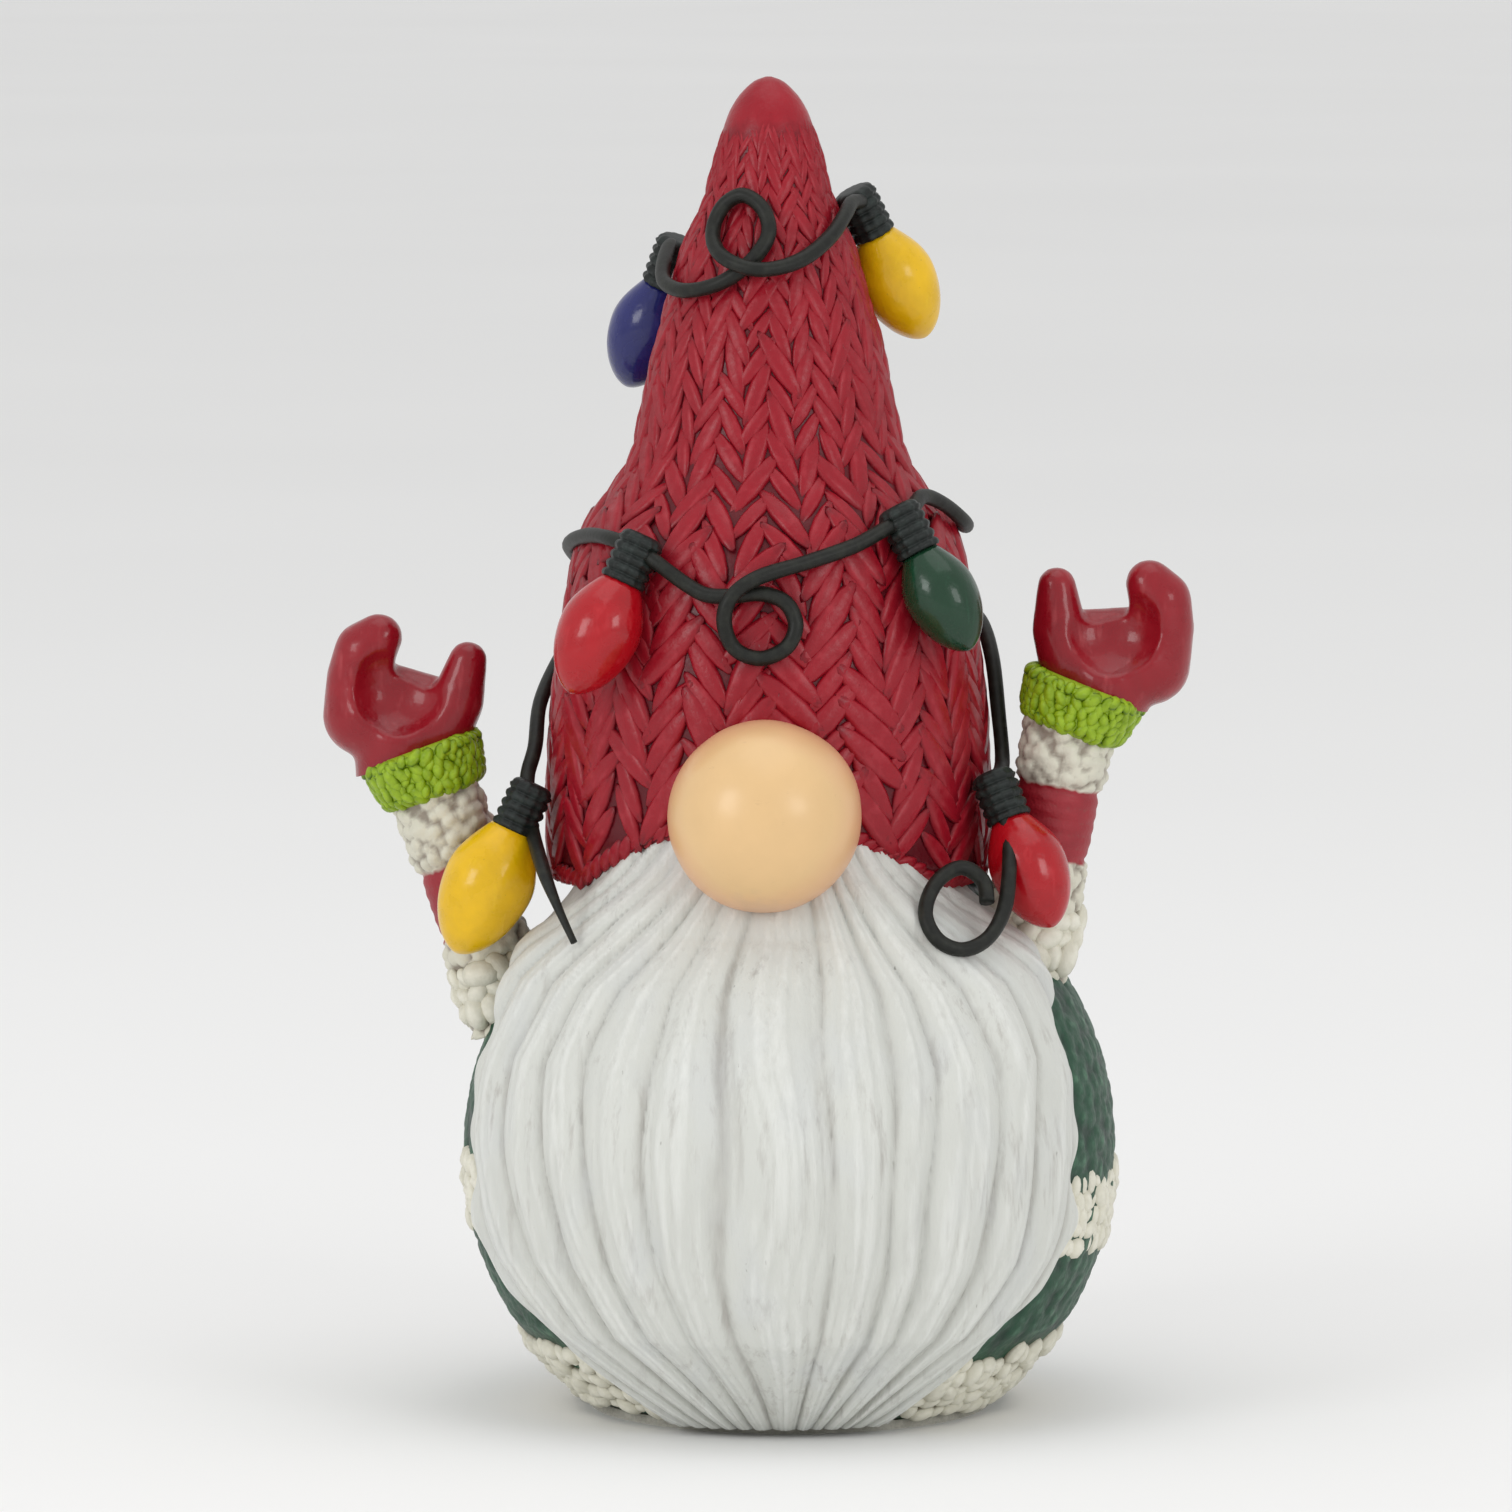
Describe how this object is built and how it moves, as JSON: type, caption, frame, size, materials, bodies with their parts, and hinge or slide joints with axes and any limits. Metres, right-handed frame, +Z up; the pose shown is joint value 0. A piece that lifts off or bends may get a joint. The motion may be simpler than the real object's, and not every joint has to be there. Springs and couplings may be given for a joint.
{
  "type": "garden gnome",
  "caption": "Standing garden gnome with a knit-look cone hat, ball nose, long beard, raised mittens and a string of painted bulbs round the hat.",
  "frame": {"origin": "centre of the base's rest face, on the ground", "axes": "+Z up along the height, -Y towards the front (the beard), +X to the right as seen from the front"},
  "size_m": [0.0982, 0.0788, 0.1486],
  "materials": {
    "body_green": "painted cast resin, stippled green with raised cream bands, satin varnish",
    "plug_grey": "moulded dark grey stopper",
    "felt": "dark green felt",
    "beard_white": "painted cast resin, off-white with a grey-brown wash in the grooves",
    "hat_red": "painted cast resin, knit relief, dark wash under satin varnish",
    "nose_peach": "smooth painted cast resin, satin varnish",
    "dowel_wood": "plain birch dowel",
    "rod_steel": "plain drawn wire",
    "sleeve_striped": "painted cast resin, cream and red stripes",
    "cuff_lime": "painted cast resin, lime fluffy relief",
    "mitten_red": "painted cast resin, glossy dark red",
    "wire_black": "black coated craft wire",
    "socket_black": "ribbed black resin",
    "bulb_red": "opaque red gloss paint",
    "bulb_yellow": "opaque yellow gloss paint",
    "bulb_blue": "opaque blue gloss paint",
    "bulb_green": "opaque dark green gloss paint"
  },
  "bodies": {
    "root": {"body_shell": "body_green", "base_plug": "plug_grey", "base_felt": "felt", "beard": "beard_white", "hat": "hat_red", "nose": "nose_peach", "nose_dowel": "dowel_wood", "left_arm_rod": "rod_steel", "right_arm_rod": "rod_steel", "left_sleeve": "sleeve_striped", "right_sleeve": "sleeve_striped", "left_cuff": "cuff_lime", "right_cuff": "cuff_lime", "left_mitten": "mitten_red", "right_mitten": "mitten_red", "light_wire": "wire_black", "socket_hat_left": "socket_black", "socket_hat_right": "socket_black", "socket_front_left": "socket_black", "socket_front_right": "socket_black", "socket_low_left": "socket_black", "socket_low_right": "socket_black", "socket_back_high": "socket_black", "socket_back_low": "socket_black", "bulb_hat_left": "bulb_blue", "bulb_hat_right": "bulb_yellow", "bulb_front_left": "bulb_red", "bulb_front_right": "bulb_green", "bulb_low_left": "bulb_yellow", "bulb_low_right": "bulb_red", "bulb_back_high": "bulb_red", "bulb_back_low": "bulb_green"}
  },
  "joints": []
}
